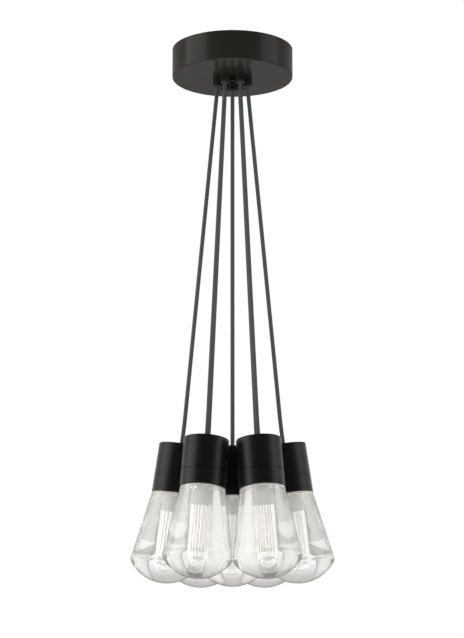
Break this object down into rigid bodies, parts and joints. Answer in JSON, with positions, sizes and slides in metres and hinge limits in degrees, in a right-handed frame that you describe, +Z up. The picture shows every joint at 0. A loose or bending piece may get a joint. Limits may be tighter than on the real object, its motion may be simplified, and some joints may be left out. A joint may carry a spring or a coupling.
{
  "type": "cluster pendant light",
  "caption": "Ceiling pendant with seven solid clear glass bulbs in black caps, each with a fluted bore, hung in a tight bunch on cords from one round canopy; each outer lamp swings out.",
  "frame": {"origin": "on the ceiling, at the middle of the mounting bar's top face, which is level with the canopy's rim", "axes": "+Z up towards the ceiling; +X along the mounting bar and through two of the outer lamps; the pictured side faces -Y"},
  "size_m": [0.2664, 0.2428, 0.7337],
  "materials": {
    "bronze_metal": "dark bronze-black paint, satin",
    "black_metal": "black powder coat, fine satin",
    "cord_jacket": "smooth round jacket, blue-grey, low sheen",
    "clear_glass": "solid clear cast glass, polished, with the upper part of its bore frosted",
    "clear_acrylic": "clear acrylic rod, polished",
    "white_plastic": "white moulding",
    "grip_plastic": "black nylon",
    "driver_plastic": "white housing with softened edges",
    "zinc_steel": "bright zinc plate",
    "screw_steel": "black oxide",
    "lead_jacket": "grey insulated wire"
  },
  "bodies": {
    "root": {"canopy_shell": "bronze_metal", "mounting_bar": "zinc_steel", "centre_nipple": "zinc_steel", "retaining_collar": "bronze_metal", "lock_nut": "zinc_steel", "led_driver": "driver_plastic", "terminal_block": "white_plastic", "strain_reliefs": "bronze_metal", "grub_screws": "screw_steel", "strain_relief_nuts": "zinc_steel", "inner_leads": "lead_jacket", "cord_centre": "cord_jacket", "lamp_housing_centre": "black_metal", "cord_grip_centre": "grip_plastic", "led_module_centre": "white_plastic", "light_guide_centre": "clear_acrylic"},
    "pendant_1": {"cord_1": "cord_jacket", "lamp_housing_1": "black_metal", "cord_grip_1": "grip_plastic", "led_module_1": "white_plastic", "light_guide_1": "clear_acrylic"},
    "pendant_2": {"cord_2": "cord_jacket", "lamp_housing_2": "black_metal", "cord_grip_2": "grip_plastic", "led_module_2": "white_plastic", "light_guide_2": "clear_acrylic"},
    "pendant_3": {"cord_3": "cord_jacket", "lamp_housing_3": "black_metal", "cord_grip_3": "grip_plastic", "led_module_3": "white_plastic", "light_guide_3": "clear_acrylic"},
    "pendant_4": {"cord_4": "cord_jacket", "lamp_housing_4": "black_metal", "cord_grip_4": "grip_plastic", "led_module_4": "white_plastic", "light_guide_4": "clear_acrylic"},
    "pendant_5": {"cord_5": "cord_jacket", "lamp_housing_5": "black_metal", "cord_grip_5": "grip_plastic", "led_module_5": "white_plastic", "light_guide_5": "clear_acrylic"},
    "pendant_6": {"cord_6": "cord_jacket", "lamp_housing_6": "black_metal", "cord_grip_6": "grip_plastic", "led_module_6": "white_plastic", "light_guide_6": "clear_acrylic"},
    "shade_1": {"glass_ring_1": "black_metal", "glass_1": "clear_glass"},
    "shade_2": {"glass_ring_2": "black_metal", "glass_2": "clear_glass"},
    "shade_3": {"glass_ring_3": "black_metal", "glass_3": "clear_glass"},
    "shade_4": {"glass_ring_4": "black_metal", "glass_4": "clear_glass"},
    "shade_5": {"glass_ring_5": "black_metal", "glass_5": "clear_glass"},
    "shade_6": {"glass_ring_6": "black_metal", "glass_6": "clear_glass"},
    "shade_centre": {"glass_ring_centre": "black_metal", "glass_centre": "clear_glass"}
  },
  "joints": [
    {"name": "swing_1", "type": "hinge", "parent": "root", "child": "pendant_1", "pos_m": [0.0205, 0, -0.0525], "axis": [0, -1, 0], "range_deg": [0, 30]},
    {"name": "swing_2", "type": "hinge", "parent": "root", "child": "pendant_2", "pos_m": [0.01025, 0.01775, -0.0525], "axis": [0.866, -0.5, 0], "range_deg": [0, 30]},
    {"name": "swing_3", "type": "hinge", "parent": "root", "child": "pendant_3", "pos_m": [-0.01025, 0.01775, -0.0525], "axis": [0.866, 0.5, 0], "range_deg": [0, 30]},
    {"name": "swing_4", "type": "hinge", "parent": "root", "child": "pendant_4", "pos_m": [-0.0205, 0, -0.0525], "axis": [0, 1, 0], "range_deg": [0, 30]},
    {"name": "swing_5", "type": "hinge", "parent": "root", "child": "pendant_5", "pos_m": [-0.01025, -0.01775, -0.0525], "axis": [-0.866, 0.5, 0], "range_deg": [0, 30]},
    {"name": "swing_6", "type": "hinge", "parent": "root", "child": "pendant_6", "pos_m": [0.01025, -0.01775, -0.0525], "axis": [-0.866, -0.5, 0], "range_deg": [0, 30]},
    {"name": "unscrew_1", "type": "hinge", "parent": "pendant_1", "child": "shade_1", "pos_m": [0.06729, 0, -0.549], "axis": [0.1409, 0, -0.99], "range_deg": [0, 1440]},
    {"name": "unscrew_2", "type": "hinge", "parent": "pendant_2", "child": "shade_2", "pos_m": [0.03364, 0.05827, -0.549], "axis": [0.0705, 0.122, -0.99], "range_deg": [0, 1440]},
    {"name": "unscrew_3", "type": "hinge", "parent": "pendant_3", "child": "shade_3", "pos_m": [-0.03364, 0.05827, -0.549], "axis": [-0.0705, 0.122, -0.99], "range_deg": [0, 1440]},
    {"name": "unscrew_4", "type": "hinge", "parent": "pendant_4", "child": "shade_4", "pos_m": [-0.06729, 0, -0.549], "axis": [-0.1409, 0, -0.99], "range_deg": [0, 1440]},
    {"name": "unscrew_5", "type": "hinge", "parent": "pendant_5", "child": "shade_5", "pos_m": [-0.03364, -0.05827, -0.549], "axis": [-0.0705, -0.122, -0.99], "range_deg": [0, 1440]},
    {"name": "unscrew_6", "type": "hinge", "parent": "pendant_6", "child": "shade_6", "pos_m": [0.03364, -0.05827, -0.549], "axis": [0.0705, -0.122, -0.99], "range_deg": [0, 1440]},
    {"name": "unscrew_centre", "type": "hinge", "parent": "root", "child": "shade_centre", "pos_m": [0, 0, -0.552], "axis": [0, 0, -1], "range_deg": [0, 1440]}
  ]
}
